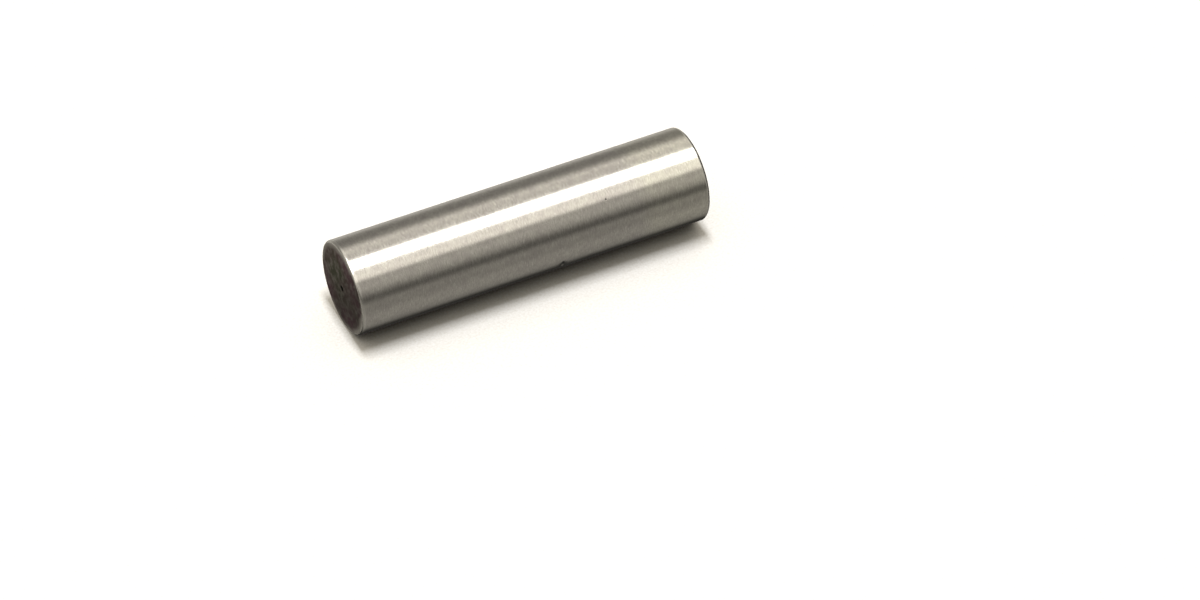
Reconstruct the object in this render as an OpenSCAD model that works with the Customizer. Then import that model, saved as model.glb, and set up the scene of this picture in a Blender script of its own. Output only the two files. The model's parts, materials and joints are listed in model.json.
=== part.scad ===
/* [Pin] */
// Diameter of the ground side, the bearing surface
pin_diameter = 4; // [2:0.1:12]
// Length over both end faces
pin_length = 15.6; // [6:0.1:48]

/* [Ends] */
// Radius turned on the edge of each end before the side is ground
edge_radius = 0.14; // [0.12:0.01:0.4]
// Height of that radius that the ground side leaves standing
edge_height = 0.10; // [0.04:0.01:0.12]
// Diameter of the centre mark at the mouth
mark_diameter = 0.28; // [0.1:0.01:0.5]
// Included angle of the centre mark's cone
mark_angle = 90; // [60:1:120]

/* [Hidden] */

$fn = 128;
steel = [0.56, 0.54, 0.50];
// How far a cut runs past the face that it starts from
overrun = 0.05;
pin_radius = pin_diameter / 2;
// Width of the rounded edge, where its arc runs out on the face
edge_width = sqrt(2 * edge_radius * edge_height - edge_height * edge_height);
mark_slope = tan(mark_angle / 2);

// What the edge radius takes off the section's corner: the arc is tangent to the face and meets
// the side at a crisp corner, because the side is ground after the edge is turned
module edge_cut() {
    translate([pin_radius - edge_width, 0])
        difference() {
            translate([0, -overrun]) square([edge_width + overrun, edge_radius + overrun]);
            translate([0, edge_radius]) circle(r = edge_radius);
        }
}

// Half of the centre mark's cone, from below the face up to its tip
module mark_cut() {
    polygon([
        [0, -overrun],
        [mark_diameter / 2 + overrun * mark_slope, -overrun],
        [0, mark_diameter / 2 / mark_slope]
    ]);
}

// Everything that is cut at one end
module end_cuts() {
    edge_cut();
    mark_cut();
}

// Half section of the pin, with its axis on Y
module half_section() {
    difference() {
        square([pin_radius, pin_length]);
        end_cuts();
        translate([0, pin_length]) mirror([0, 1]) end_cuts();
    }
}

// The pin, standing on its lower end face
module gudgeon_pin() {
    color(steel) rotate_extrude() half_section();
}

gudgeon_pin();
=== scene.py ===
import json
import math
import bmesh
import bpy
from mathutils import Matrix, Vector


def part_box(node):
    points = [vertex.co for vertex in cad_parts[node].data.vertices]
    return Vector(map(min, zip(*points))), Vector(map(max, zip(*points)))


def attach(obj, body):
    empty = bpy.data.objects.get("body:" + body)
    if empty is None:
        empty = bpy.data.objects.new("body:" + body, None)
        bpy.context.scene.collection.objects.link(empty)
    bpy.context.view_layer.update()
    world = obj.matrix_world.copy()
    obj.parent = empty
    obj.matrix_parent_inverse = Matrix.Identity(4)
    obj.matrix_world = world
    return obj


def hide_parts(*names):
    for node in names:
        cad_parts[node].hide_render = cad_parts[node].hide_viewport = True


mm = 0.001  # scene units are metres

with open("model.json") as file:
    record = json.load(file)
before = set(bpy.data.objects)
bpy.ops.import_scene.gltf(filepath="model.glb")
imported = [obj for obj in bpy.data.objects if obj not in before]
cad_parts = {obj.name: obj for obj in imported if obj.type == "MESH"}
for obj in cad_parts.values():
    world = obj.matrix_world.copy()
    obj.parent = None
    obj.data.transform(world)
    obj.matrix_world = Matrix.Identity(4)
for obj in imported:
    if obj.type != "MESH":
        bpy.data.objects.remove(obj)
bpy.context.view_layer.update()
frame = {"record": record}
bearing = next(m for m in frame["record"]["mounts"] if m["name"] == "bearing_surface")
pinLow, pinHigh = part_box("gudgeon_pin")
pinRadius = bearing["dims"]["r_mm"] * mm
pinLength = pinHigh.z - pinLow.z
groundLength = bearing["dims"]["length_mm"] * mm
print("frame loaded: pin", round(2 * pinRadius / mm, 3), "x", round(pinLength / mm, 3), "mm")

# The photograph shows the pin lying down. Its floor touches the side of the standing pin.
pinAxis = Vector((0, 0, 1))  # towards the end that faces the camera
floorUp = Vector((1, -1, 0)).normalized()  # up from that floor
floorBack = pinAxis.cross(floorUp)  # along that floor, away from the camera
pinMiddle = pinAxis * (pinLow.z + pinLength / 2)


# small helpers for node trees

def addNode(tree, kind, sockets=None, **settings):
    node = tree.nodes.new(kind)
    for name, value in settings.items():
        setattr(node, name, value)
    for name, value in (sockets or {}).items():
        node.inputs[name].default_value = value
    return node


def mathNode(tree, operation, first, second=None):
    node = addNode(tree, "ShaderNodeMath", operation=operation)
    for slot, value in enumerate((first, second)):
        if hasattr(value, "is_linked"):
            tree.links.new(value, node.inputs[slot])
        elif value is not None:
            node.inputs[slot].default_value = value
    return node.outputs["Value"]


def remap(tree, value, fromLow, fromHigh, toLow, toHigh):
    node = addNode(tree, "ShaderNodeMapRange", {
        "From Min": fromLow, "From Max": fromHigh, "To Min": toLow, "To Max": toHigh})
    tree.links.new(value, node.inputs["Value"])
    return node.outputs["Result"]


def mixColour(tree, factor, first, second, blend="MIX"):
    node = addNode(tree, "ShaderNodeMix", data_type="RGBA", blend_type=blend)
    for name, value in (("Factor", factor), ("A", first), ("B", second)):
        socket = next(s for s in node.inputs if s.name == name and s.enabled)
        if hasattr(value, "is_linked"):
            tree.links.new(value, socket)
        else:
            socket.default_value = value
    return next(s for s in node.outputs if s.enabled)


def splitAxes(tree, vector):
    node = addNode(tree, "ShaderNodeSeparateXYZ")
    tree.links.new(vector, node.inputs["Vector"])
    return node.outputs


def newGroup(name, inputs, outputs):
    group = bpy.data.node_groups.new(name, "ShaderNodeTree")
    for label, kind, default in inputs:
        socket = group.interface.new_socket(label, in_out="INPUT", socket_type=kind)
        if default is not None:
            socket.default_value = default
    for label, kind in outputs:
        group.interface.new_socket(label, in_out="OUTPUT", socket_type=kind)
    return group, group.nodes.new("NodeGroupInput"), group.nodes.new("NodeGroupOutput")


def placeGroup(tree, group, values, links):
    node = addNode(tree, "ShaderNodeGroup", node_tree=group)
    for name, value in values.items():
        node.inputs[name].default_value = value
    for name, output in links.items():
        tree.links.new(output, node.inputs[name])
    return node


# effects that the finishes share; positions come in as millimetres

effects = {
    "noiseSpan": (0.3, 0.7),  # the part of a noise's range that is used
    "streakSpan": (0.56, 0.72),  # where a tool mark turns bright
    "patchiness": (0.8, 1.2),  # how far the width of a worn edge changes
    "wearSpan": (0.3, 1.2),  # where the wear begins to fade and where it ends, in widths
}


def makeToolMarks():
    group, source, result = newGroup(
        "toolMarks",
        [("Position", "NodeSocketVector", None), ("Across", "NodeSocketFloat", 0.0),
         ("Spacing", "NodeSocketFloat", 0.1), ("Reach", "NodeSocketFloat", 1.0)],
        [("Height", "NodeSocketFloat"), ("Streak", "NodeSocketFloat")])
    axes = splitAxes(group, source.outputs["Position"])
    stretched = addNode(group, "ShaderNodeCombineXYZ")
    for axis in ("X", "Y"):
        along = mathNode(group, "DIVIDE", axes[axis], source.outputs["Reach"])
        group.links.new(along, stretched.inputs[axis])
    step = mathNode(group, "DIVIDE", source.outputs["Across"], source.outputs["Spacing"])
    group.links.new(step, stretched.inputs["Z"])
    cuts = addNode(group, "ShaderNodeTexNoise", {"Scale": 1.0, "Detail": 3.0, "Roughness": 0.6})
    group.links.new(stretched.outputs["Vector"], cuts.inputs["Vector"])
    group.links.new(cuts.outputs["Fac"], result.inputs["Height"])
    streak = remap(group, cuts.outputs["Fac"], *effects["streakSpan"], 0, 1)
    group.links.new(streak, result.inputs["Streak"])
    return group


def makeCloud():
    group, source, result = newGroup(
        "cloudyFilm",
        [("Position", "NodeSocketVector", None), ("Size", "NodeSocketFloat", 1.0)],
        [("Cloud", "NodeSocketFloat"), ("Speckle", "NodeSocketFloat")])
    spread = addNode(group, "ShaderNodeVectorMath", operation="DIVIDE")
    group.links.new(source.outputs["Position"], spread.inputs[0])
    group.links.new(source.outputs["Size"], spread.inputs[1])
    broad = addNode(group, "ShaderNodeTexNoise", {"Scale": 1.0, "Detail": 2.0})
    fine = addNode(group, "ShaderNodeTexNoise", {"Scale": 6.0, "Detail": 4.0, "Roughness": 0.65})
    for texture, label in ((broad, "Cloud"), (fine, "Speckle")):
        group.links.new(spread.outputs["Vector"], texture.inputs["Vector"])
        level = remap(group, texture.outputs["Fac"], *effects["noiseSpan"], 0, 1)
        group.links.new(level, result.inputs[label])
    return group


def makeEdgeWear():
    group, source, result = newGroup(
        "edgeWear",
        [("Position", "NodeSocketVector", None), ("Distance", "NodeSocketFloat", 0.0),
         ("Width", "NodeSocketFloat", 0.1)],
        [("Wear", "NodeSocketFloat")])
    patchy = addNode(group, "ShaderNodeTexNoise", {"Scale": 2.5, "Detail": 3.0})
    group.links.new(source.outputs["Position"], patchy.inputs["Vector"])
    change = remap(group, patchy.outputs["Fac"], *effects["noiseSpan"], *effects["patchiness"])
    reach = mathNode(group, "MULTIPLY", source.outputs["Width"], change)
    fall = mathNode(group, "DIVIDE", source.outputs["Distance"], reach)
    group.links.new(remap(group, fall, *effects["wearSpan"], 1, 0), result.inputs["Wear"])
    return group


toolMarks = makeToolMarks()
cloudyFilm = makeCloud()
edgeWear = makeEdgeWear()


def startMaterial(name):
    material = bpy.data.materials.new(name)
    material.use_nodes = True
    tree = material.node_tree
    shader = tree.nodes["Principled BSDF"]
    coords = addNode(tree, "ShaderNodeTexCoord")
    position = addNode(tree, "ShaderNodeVectorMath", operation="SCALE")
    position.inputs["Scale"].default_value = 1 / mm
    tree.links.new(coords.outputs["Object"], position.inputs[0])
    return material, tree, shader, position.outputs["Vector"]


def addBump(tree, shader, height, distance, before=None):
    bump = addNode(tree, "ShaderNodeBump", {"Strength": 1.0, "Distance": distance})
    tree.links.new(height, bump.inputs["Height"])
    if before:
        tree.links.new(before, bump.inputs["Normal"])
    tree.links.new(bump.outputs["Normal"], shader.inputs["Normal"])
    return bump.outputs["Normal"]


groundFinish = {
    "steel": (0.475, 0.46, 0.418, 1),
    "dull": (0.395, 0.372, 0.35, 1),
    "cut": (0.33, 0.315, 0.285, 1),
    "cutSpan": (0.3, 0.5),  # heights of the grinding marks between which that colour fades
    "cutShare": 0.6,
    "bright": (0.60, 0.58, 0.54, 1),
    "streakShare": 0.5,  # how bright the streaks between the marks are
    "wearShare": 0.5,  # how bright the worn edges are
    "pit": (0.05, 0.047, 0.042, 1),
    "pitCore": 0.8,  # share of a dent's length that is wholly dark
    "roughLow": 0.185,
    "roughHigh": 0.23,
    "anisotropy": 0.5,
    "anisotropyTurn": 0.25,
    "grindSpacing": 0.05,  # mm
    "grindReach": 0.20,  # mm
    "grindDepth": 0.0014 * mm,
    "waveSize": 2.2,  # mm
    "waveDepth": 0.0012 * mm,
    "wearWidth": 0.06,  # mm
    "paintedReflection": (1.11, 1.12, 1.07, 1),  # painted reflection: the side by the lower end is made paler, for the stronger reflection it shows there
    "paintedReflectionTo": 2.5,  # mm, height up to which it is so
    "paintedReflectionFade": 0.7,  # mm
    "mattHairline": (0.24, 0.23, 0.21, 1),  # matt dark grey hairline at the lower end's edge
    "mattHairlineWidth": 0.03,  # mm
    "mattHairlineFade": 0.009,  # mm
}

# small dents in the side: height on the pin, angle round it, size, depth and how dark they are
pinNicks = [
    {"height": 4.49 * mm, "angle": -88.7, "along": 0.035 * mm, "round": 0.05 * mm, "depth": 0.01 * mm,
     "darkening": 0.7},
    {"height": 6.66 * mm, "angle": -159.5, "along": 0.10 * mm, "round": 0.27 * mm, "depth": 0.045 * mm,
     "darkening": 1.0},
]


def nickPlace(nick):
    turn = math.radians(nick["angle"])
    return Vector((pinRadius * math.cos(turn), pinRadius * math.sin(turn), nick["height"]))


def makeGroundSteel(look):
    material, tree, shader, position = startMaterial("groundSteel")
    height = splitAxes(tree, position)["Z"]
    grind = placeGroup(tree, toolMarks, {"Spacing": look["grindSpacing"], "Reach": look["grindReach"]},
                       {"Position": position, "Across": height})
    film = placeGroup(tree, cloudyFilm, {"Size": look["waveSize"]}, {"Position": position})
    fromMiddle = mathNode(tree, "SUBTRACT", height, pinMiddle.z / mm)
    fromEdge = mathNode(tree, "SUBTRACT", groundLength / 2 / mm, mathNode(tree, "ABSOLUTE", fromMiddle))
    worn = placeGroup(tree, edgeWear, {"Width": look["wearWidth"]},
                      {"Position": position, "Distance": fromEdge})
    coloured = mixColour(tree, film.outputs["Speckle"], look["dull"], look["steel"])
    cuts = remap(tree, grind.outputs["Height"], *look["cutSpan"], look["cutShare"], 0)
    coloured = mixColour(tree, cuts, coloured, look["cut"])
    streaks = mathNode(tree, "MULTIPLY", grind.outputs["Streak"], look["streakShare"])
    coloured = mixColour(tree, streaks, coloured, look["bright"])
    edges = mathNode(tree, "MULTIPLY", worn.outputs["Wear"], look["wearShare"])
    coloured = mixColour(tree, edges, coloured, look["bright"])
    # painted reflection: the colour is lifted on the side by the lower end
    brightTop = look["paintedReflectionTo"] + look["paintedReflectionFade"]
    lower = remap(tree, height, look["paintedReflectionTo"], brightTop, 1, 0)
    coloured = mixColour(tree, lower, coloured, look["paintedReflection"], "MULTIPLY")
    # a matt dark grey hairline along the edge of the lower end
    lineTop = (pinLow.z + (pinLength - groundLength) / 2) / mm + look["mattHairlineWidth"]
    mattHairline = remap(tree, height, lineTop - look["mattHairlineFade"], lineTop, 1, 0)
    coloured = mixColour(tree, mattHairline, coloured, look["mattHairline"])
    # each dent is also coloured dark, fading out from its middle
    for nick in pinNicks:
        away = addNode(tree, "ShaderNodeVectorMath", operation="DISTANCE")
        tree.links.new(position, away.inputs[0])
        away.inputs[1].default_value = nickPlace(nick) / mm
        core = nick["along"] / mm * look["pitCore"]
        darkened = remap(tree, away.outputs["Value"], core, nick["round"] / mm, nick["darkening"], 0)
        coloured = mixColour(tree, darkened, coloured, look["pit"])
    tree.links.new(coloured, shader.inputs["Base Color"])
    rough = remap(tree, film.outputs["Cloud"], 0, 1, look["roughLow"], look["roughHigh"])
    tree.links.new(rough, shader.inputs["Roughness"])
    tree.links.new(mathNode(tree, "SUBTRACT", 1, mattHairline), shader.inputs["Metallic"])
    shader.inputs["Anisotropic"].default_value = look["anisotropy"]
    shader.inputs["Anisotropic Rotation"].default_value = look["anisotropyTurn"]
    waves = addBump(tree, shader, film.outputs["Cloud"], look["waveDepth"])
    addBump(tree, shader, grind.outputs["Height"], look["grindDepth"], waves)
    return material


endFinish = {
    "violet": (0.0435, 0.021, 0.0285, 1),
    "olive": (0.0238, 0.0265, 0.0155, 1),
    "pale": (0.086, 0.086, 0.074, 1),
    "paleSpan": (0.35, 1),  # levels of the mottling between which it turns pale
    "worn": (0.21, 0.202, 0.186, 1),
    "bare": (0.48, 0.465, 0.425, 1),
    "markBlack": (0.005, 0.0048, 0.0045, 1),
    "markBlackSpan": (0.85, 1.05),  # where it fades, in radii of the centre mark
    "gloss": 0.02,
    "roughDark": 0.42,
    "roughBare": 0.2,
    "roughSpread": (0.85, 1.15),
    "turnSpacing": 0.06,  # mm
    "turnReach": 4.0,  # mm
    "turnDepth": 0.001 * mm,
    "cloudSize": 1.8,  # mm
    "paintedLight": (1.72, 1.56, 1.68, 1),  # painted light: how much the scale is lifted on the side of each end that faces up and back
    "paintedLightWay": (floorUp + floorBack).normalized(),
    "paintedLightSpan": (-0.3, 0.5),  # how far across that side begins, in radii
    "bareWidth": 0.09,  # mm in from the side, on the rounded edge
    "bareCore": 0.45,  # share of that width that is wholly bare
    "wearWidth": 0.29,  # mm in from the side
    "spared": -floorBack * 0.9 + floorUp * 0.43,  # the way across each end where it is hardly worn
    "sparedSpan": (0.7, 0.97),  # how far across that begins, in radii
    "sparedShare": 0.2,  # how much of the width is left there
    "lowerShare": 0.2,  # how much of the width the lower end has
}


def makeHardenedEnd(look, markRadius):
    material, tree, shader, position = startMaterial("hardenedEnd")
    axes = splitAxes(tree, position)
    flat = addNode(tree, "ShaderNodeCombineXYZ")
    for axis in ("X", "Y"):
        tree.links.new(axes[axis], flat.inputs[axis])
    radial = addNode(tree, "ShaderNodeVectorMath", operation="LENGTH")
    tree.links.new(flat.outputs["Vector"], radial.inputs[0])
    fromAxis = radial.outputs["Value"]
    turned = placeGroup(tree, toolMarks, {"Spacing": look["turnSpacing"], "Reach": look["turnReach"]},
                        {"Position": position, "Across": fromAxis})
    scale = placeGroup(tree, cloudyFilm, {"Size": look["cloudSize"]}, {"Position": position})
    fromEdge = mathNode(tree, "SUBTRACT", pinRadius / mm, fromAxis)
    shares = []
    for way in (look["spared"], look["paintedLightWay"]):
        share = addNode(tree, "ShaderNodeVectorMath", operation="DOT_PRODUCT")
        tree.links.new(flat.outputs["Vector"], share.inputs[0])
        share.inputs[1].default_value = way * mm / pinRadius
        shares.append(share.outputs["Value"])
    across = mathNode(tree, "ABSOLUTE", shares[0])
    leastWidth = look["wearWidth"] * look["sparedShare"]
    width = remap(tree, across, *look["sparedSpan"], look["wearWidth"], leastWidth)
    atEnd = remap(tree, axes["Z"], 0, pinLength / mm, look["lowerShare"], 1)
    width = mathNode(tree, "MULTIPLY", width, atEnd)
    worn = placeGroup(tree, edgeWear, {}, {"Position": position, "Distance": fromEdge, "Width": width})
    clouded = mixColour(tree, scale.outputs["Cloud"], look["violet"], look["olive"])
    mottled = remap(tree, scale.outputs["Speckle"], *look["paleSpan"], 0, 1)
    clouded = mixColour(tree, mottled, clouded, look["pale"])
    # painted light: the scale is lifted on the side of each end that faces up and back
    paintedLit = remap(tree, shares[1], *look["paintedLightSpan"], 0, 1)
    clouded = mixColour(tree, paintedLit, clouded, look["paintedLight"], "MULTIPLY")
    bare = remap(tree, fromEdge, look["bareWidth"] * look["bareCore"], look["bareWidth"], 1, 0)
    rubbed = mixColour(tree, worn.outputs["Wear"], clouded, look["worn"])
    rubbed = mixColour(tree, bare, rubbed, look["bare"])
    # the centre mark is coloured near black, fading out towards its mouth
    blackFrom, blackTo = (share * markRadius / mm for share in look["markBlackSpan"])
    blackened = remap(tree, fromAxis, blackFrom, blackTo, 1, 0)
    tree.links.new(mixColour(tree, blackened, rubbed, look["markBlack"]), shader.inputs["Base Color"])
    rough = remap(tree, bare, 0, 1, look["roughDark"], look["roughBare"])
    grain = remap(tree, scale.outputs["Speckle"], 0, 1, *look["roughSpread"])
    tree.links.new(mathNode(tree, "MULTIPLY", rough, grain), shader.inputs["Roughness"])
    tree.links.new(bare, shader.inputs["Metallic"])  # the dark scale is no metal
    shader.inputs["Specular IOR Level"].default_value = look["gloss"]
    addBump(tree, shader, turned.outputs["Height"], look["turnDepth"])
    return material


# the pin itself

pinShape = {
    "edgeRadius": 0.14 * mm,  # turned on each end before the side is ground
    "edgeHeight": (pinLength - groundLength) / 2,  # what the ground side leaves of it
    "markRadius": 0.14 * mm,
    "markAngle": math.radians(90),
    "turnSteps": 512,
    "edgeSteps": 10,
    "cornerAngle": math.radians(12),  # least angle that is broken
    "cornerBevel": 0.012 * mm,
    "bevelSteps": 2,
    "sharpAngle": math.radians(35),  # least angle that is shaded sharp
    "supportGap": 0.03 * mm,  # from a corner to the ring that keeps the faces beside it flat
    "mergeDistance": 0.00001 * mm,
    "sideTilt": 0.01,  # the most that a face of the side leans up or down
    "sideShare": 0.995,  # the break at a corner is ground too, from this share of the radius
    "nickRings": 14,  # rings of vertices cut across each dent
    "nickReach": 1.3,  # how far the rings go, in lengths of the dent
    "cutDistance": 0.0001 * mm,
}


def turnPin(shape):
    bm = bmesh.new()
    edgeWidth = math.sqrt(2 * shape["edgeRadius"] * shape["edgeHeight"] - shape["edgeHeight"] ** 2)
    edgeAngle = math.acos(1 - shape["edgeHeight"] / shape["edgeRadius"])
    faceRadius = pinRadius - edgeWidth
    markDepth = shape["markRadius"] / math.tan(shape["markAngle"] / 2)
    # half of the section: centre mark, end face, edge arc, side up to the middle
    tip = bm.verts.new((0, 0, markDepth))
    mouth = bm.verts.new((shape["markRadius"], 0, 0))
    faceEnd = bm.verts.new((faceRadius - shape["supportGap"], 0, 0))
    rim = bm.verts.new((faceRadius, 0, 0))
    for first, second in ((tip, mouth), (mouth, faceEnd), (faceEnd, rim)):
        bm.edges.new((first, second))
    arc = bmesh.ops.spin(bm, geom=[rim], cent=(faceRadius, 0, shape["edgeRadius"]), axis=(0, -1, 0),
                         angle=edgeAngle, steps=shape["edgeSteps"])
    corner = next(g for g in arc["geom_last"] if isinstance(g, bmesh.types.BMVert))
    side = [corner]
    for rise in (shape["supportGap"], pinLength / 2 - shape["edgeHeight"] - shape["supportGap"]):
        side = bmesh.ops.extrude_vert_indiv(bm, verts=side)["verts"]
        bmesh.ops.translate(bm, verts=side, vec=(0, 0, rise))
    bmesh.ops.mirror(bm, geom=bm.verts[:] + bm.edges[:], axis="Z",
                     matrix=Matrix.Translation(-pinMiddle), merge_dist=-1)  # joined below
    bmesh.ops.spin(bm, geom=bm.verts[:] + bm.edges[:], cent=(0, 0, 0), axis=pinAxis,
                   angle=2 * math.pi, steps=shape["turnSteps"], use_merge=True)
    bmesh.ops.remove_doubles(bm, verts=bm.verts, dist=shape["mergeDistance"])
    bmesh.ops.recalc_face_normals(bm, faces=bm.faces)
    return bm


def isSide(face, shape):
    return abs(face.normal.z) < shape["sideTilt"]


def hasGroundFinish(face, shape):
    middle = face.calc_center_median()
    fromEnd = min(middle.z - pinLow.z, pinHigh.z - middle.z)
    inDent = fromEnd > shape["markRadius"]  # no other leaning face is as far from both ends
    outermost = middle.xy.length > pinRadius * shape["sideShare"]
    return isSide(face, shape) or inDent or outermost


def markCorners(bm, shape):
    corners = [e for e in bm.edges if len(e.link_faces) == 2
               and isSide(e.link_faces[0], shape) != isSide(e.link_faces[1], shape)
               and e.calc_face_angle() > shape["cornerAngle"]]
    bmesh.ops.bevel(bm, geom=corners, offset=shape["cornerBevel"], offset_type="OFFSET", affect="EDGES",
                    segments=shape["bevelSteps"], profile=0.5, material=-1)
    for edge in bm.edges:
        if len(edge.link_faces) == 2:
            edge.smooth = edge.calc_face_angle() < shape["sharpAngle"]


def dentSide(bm, nick, shape):
    reach = nick["along"] * shape["nickReach"]
    for ring in range(shape["nickRings"]):
        offset = (2 * ring / (shape["nickRings"] - 1) - 1) * reach
        bmesh.ops.bisect_plane(bm, geom=bm.verts[:] + bm.edges[:] + bm.faces[:],
                               plane_co=(0, 0, nick["height"] + offset), plane_no=pinAxis,
                               dist=shape["cutDistance"])
    for vert in bm.verts:
        turn = math.atan2(vert.co.y, vert.co.x) - math.radians(nick["angle"])
        turn = (turn + math.pi) % (2 * math.pi) - math.pi
        away = math.hypot((vert.co.z - nick["height"]) / nick["along"], turn * pinRadius / nick["round"])
        if away < 1:
            sink = nick["depth"] * (0.5 + 0.5 * math.cos(math.pi * away)) / pinRadius
            vert.co.xy = vert.co.xy * (1 - sink)


def buildPin(shape):
    bm = turnPin(shape)
    markCorners(bm, shape)
    for nick in pinNicks:
        dentSide(bm, nick, shape)
    for face in bm.faces:
        face.smooth = True
        face.material_index = 0 if hasGroundFinish(face, shape) else 1
    mesh = bpy.data.meshes.new("gudgeonPinTurned")
    bm.to_mesh(mesh)
    bm.free()
    mesh.materials.append(makeGroundSteel(groundFinish))
    mesh.materials.append(makeHardenedEnd(endFinish, shape["markRadius"]))
    pin = bpy.data.objects.new("gudgeon_pin_turned", mesh)
    bpy.context.scene.collection.objects.link(pin)
    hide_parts("gudgeon_pin")
    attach(pin, "root")
    print("pin turned:", len(mesh.polygons), "faces")


buildPin(pinShape)

# floor, light and camera

floorLook = {
    "size": 0.6,  # m
    "white": (1, 1, 1, 1),
    "grain": (0.83, 0.815, 0.79, 1),
    "grainSize": 0.6,  # mm
}


def makeFloorFinish(look):
    material, tree, shader, position = startMaterial("floorWhite")
    tree.nodes.remove(shader)
    geometry = addNode(tree, "ShaderNodeNewGeometry")
    paper = placeGroup(tree, cloudyFilm, {"Size": look["grainSize"]}, {"Position": position})
    seen = addNode(tree, "ShaderNodeBsdfDiffuse")
    grained = mixColour(tree, paper.outputs["Speckle"], look["grain"], look["white"])
    tree.links.new(grained, seen.inputs["Color"])
    clear = addNode(tree, "ShaderNodeBsdfTransparent")
    oneSided = addNode(tree, "ShaderNodeMixShader")
    tree.links.new(geometry.outputs["Backfacing"], oneSided.inputs["Fac"])
    tree.links.new(seen.outputs["BSDF"], oneSided.inputs[1])
    tree.links.new(clear.outputs["BSDF"], oneSided.inputs[2])
    tree.links.new(oneSided.outputs["Shader"], tree.nodes["Material Output"].inputs["Surface"])
    return material


def facing(up, along, place):
    across = up.cross(along)
    turn = Matrix((along, across, up)).transposed().to_4x4()
    return Matrix.Translation(place) @ turn


def layFloor(look):
    bm = bmesh.new()
    bmesh.ops.create_grid(bm, x_segments=1, y_segments=1, size=look["size"] / 2)
    mesh = bpy.data.meshes.new("floor")
    bm.to_mesh(mesh)
    bm.free()
    mesh.materials.append(makeFloorFinish(look))
    floor = bpy.data.objects.new("floor", mesh)
    bpy.context.scene.collection.objects.link(floor)
    floor.matrix_world = facing(floorUp, pinAxis, pinMiddle - floorUp * pinRadius)
    floor.visible_glossy = False  # the tent below stands for it in the metal


lamps = {
    "roofLamp": {  # lights the floor and the matt ends
        "height": 0.24,  # m
        "lean": -0.6,  # degrees towards the back
        "halfAngle": 11.2,  # degrees, as the pin sees it
        "length": 0.028,  # m
        "shift": 0.0,  # m, along the pin
        "radiance": 37.0,
        "onMetal": False,
    },
    "stripLamp": {  # the strip of light in the ground side
        "height": 0.12,
        "lean": -2.3,
        "halfAngle": 11.2,
        "length": 0.14,
        "shift": -0.015,
        "radiance": 4.6,
        "onMetal": True,
    },
    "gleamLamp": {  # the same strip where the near edge turns towards it
        "height": 0.12,
        "lean": 4.0,
        "halfAngle": 19.0,
        "length": 0.145,
        "shift": 0.1275,
        "radiance": 4.6,
        "onMetal": True,
    },
}

lampFactor = 4  # an area lamp's power, for each unit of radiance and area


def hangLamp(name, lamp):
    light = bpy.data.lights.new(name, "AREA")
    light.shape = "RECTANGLE"
    light.size = lamp["length"]
    light.size_y = 2 * lamp["height"] * math.tan(math.radians(lamp["halfAngle"]))
    light.energy = lampFactor * light.size * light.size_y * lamp["radiance"]
    hung = bpy.data.objects.new(name, light)
    bpy.context.scene.collection.objects.link(hung)
    place = pinMiddle + floorUp * lamp["height"] + pinAxis * lamp["shift"]
    place += floorBack * lamp["height"] * math.tan(math.radians(lamp["lean"]))
    hung.matrix_world = facing(floorUp, pinAxis, place)
    hung.visible_camera = False
    hung.visible_glossy = lamp["onMetal"]
    hung.visible_diffuse = not lamp["onMetal"]


# the tent round the pin, as the metal and the floor see it: angle round the pin, 0 along the floor
# towards the camera and 90 straight up, and level
tentLook = {
    "white": (1, 1, 1, 1),
    "metal": [
        (-180, 0.42), (-165, 0.65), (-152, 0.62), (-142, 0.25), (-130, 0.06), (-106, 0.03), (-96, 0.085),
        (-85, 0.29), (-70, 0.42), (-47, 0.475), (-28, 0.37), (-12, 0.40), (-4, 0.21), (0, 0.15), (7, 0.21),
        (14, 0.43), (24, 0.66), (32, 0.75), (38, 0.72), (45, 0.57), (49, 1.56), (54, 1.92), (73, 1.50),
        (105, 1.04), (118, 1.10), (130, 1.34), (146, 0.49), (158, 0.33), (175, 0.36), (180, 0.42),
    ],
    "metalTint": (1.0, 0.962, 0.885),
    "floor": [
        (-180, 0.035), (0, 0.045), (42, 0.06), (50, 0.44), (58, 0.66), (66, 0.87), (74, 1.04), (110, 1.04),
        (180, 0.58),
    ],
    "floorTint": (1.0, 0.93, 0.785),
    "farOut": (0.04, 0.039, 0.036, 1),  # straight out from the end that faces away
    "farSpan": (0.5, 0.7),  # axial shares of a direction between which it turns to that
    "offEnds": (0.4, 0.4, 0.4, 1),  # how much of the floor's light is left straight out from both ends
    "offSpan": (0.5, 0.85),
}


def addRamp(tree, turn, stops, tint):
    ramp = addNode(tree, "ShaderNodeValToRGB")
    tree.links.new(turn, ramp.inputs["Fac"])
    elements = ramp.color_ramp.elements  # starts with the two ends
    for angle, _ in stops[1:-1]:
        elements.new(angle / 360 + 0.5)
    for element, (_, level) in zip(elements, stops):
        element.color = [level * part for part in tint] + [1]
    return ramp.outputs["Color"]


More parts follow.
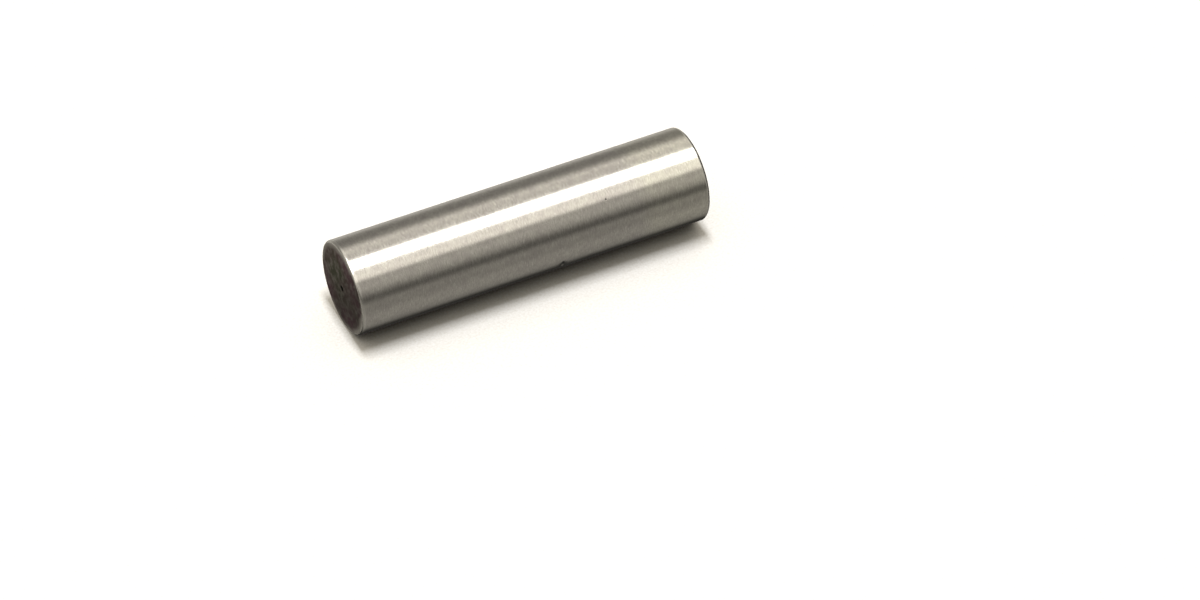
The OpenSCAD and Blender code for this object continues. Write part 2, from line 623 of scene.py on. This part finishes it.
def makeTent(look):
    world = bpy.data.worlds.new("tent")
    world.use_nodes = True
    bpy.context.scene.world = world
    tree = world.node_tree
    background = tree.nodes["Background"]
    coords = addNode(tree, "ShaderNodeTexCoord")
    path = addNode(tree, "ShaderNodeLightPath")
    shares = []
    for direction in (floorUp, -floorBack, -pinAxis):
        part = addNode(tree, "ShaderNodeVectorMath", operation="DOT_PRODUCT")
        tree.links.new(coords.outputs["Generated"], part.inputs[0])
        part.inputs[1].default_value = direction
        shares.append(part.outputs["Value"])
    turn = remap(tree, mathNode(tree, "ARCTAN2", shares[0], shares[1]), -math.pi, math.pi, 0, 1)
    inMetal = addRamp(tree, turn, look["metal"], look["metalTint"])
    inMetal = mixColour(tree, remap(tree, shares[2], *look["farSpan"], 0, 1), inMetal, look["farOut"])
    onFloor = addRamp(tree, turn, look["floor"], look["floorTint"])
    endShare = mathNode(tree, "ABSOLUTE", shares[2])
    dimmed = remap(tree, endShare, *look["offSpan"], 0, 1)
    onFloor = mixColour(tree, dimmed, onFloor, look["offEnds"], "MULTIPLY")
    offFloor = mathNode(tree, "LESS_THAN", path.outputs["Diffuse Depth"], 1)
    seenInMetal = mathNode(tree, "MULTIPLY", path.outputs["Is Glossy Ray"], offFloor)
    lit = mixColour(tree, seenInMetal, onFloor, inMetal)
    seen = mixColour(tree, path.outputs["Is Camera Ray"], lit, look["white"])
    tree.links.new(seen, background.inputs["Color"])


photoView = {
    "frameWidth": 1200,  # px
    "frameHeight": 600,  # px
    "focal": 4500,  # px
    "pinMiddle": (517.52, 230.11),  # px
    "pinAcross": 98.65,  # px, the diameter at the middle
    "axisTilt": 18.8,  # degrees, how far the axis climbs to the right
    "axisDepth": 19.2,  # degrees, how far it runs away from the camera
    "sensor": 36,  # mm
    "clipStart": 0.01,  # m
}


def setCamera(look):
    tilt, depth = math.radians(look["axisTilt"]), math.radians(look["axisDepth"])
    farWay = Vector((math.cos(depth) * math.cos(tilt), math.cos(depth) * math.sin(tilt), -math.sin(depth)))
    rise = math.atan2(farWay.y, -farWay.z)  # the camera's height over the floor, as an angle
    upSeen = Vector((0, math.cos(rise), math.sin(rise)))
    nearSeen = -farWay
    backSeen = nearSeen.cross(upSeen)
    toCamera = Matrix((nearSeen, upSeen, backSeen)).transposed() @ Matrix((pinAxis, floorUp, floorBack))
    distance = look["focal"] / look["pinAcross"] * 2 * pinRadius
    right = (look["pinMiddle"][0] - look["frameWidth"] / 2) / look["focal"]
    down = (look["pinMiddle"][1] - look["frameHeight"] / 2) / look["focal"]
    middleSeen = Vector((right, -down, -1)) * distance
    data = bpy.data.cameras.new("photoCamera")
    data.sensor_fit = "HORIZONTAL"
    data.sensor_width = look["sensor"]
    data.lens = look["focal"] / look["frameWidth"] * look["sensor"]
    data.clip_start = look["clipStart"]
    camera = bpy.data.objects.new("photoCamera", data)
    bpy.context.scene.collection.objects.link(camera)
    turn = toCamera.transposed()
    camera.matrix_world = Matrix.Translation(pinMiddle - turn @ middleSeen) @ turn.to_4x4()
    bpy.context.scene.camera = camera
    print("camera set:", round(math.degrees(rise), 1), "degrees over the floor")


layFloor(floorLook)
for name, lamp in lamps.items():
    hangLamp(name, lamp)
makeTent(tentLook)
setCamera(photoView)
bpy.context.scene.view_settings.view_transform = "Standard"
print("stage set")
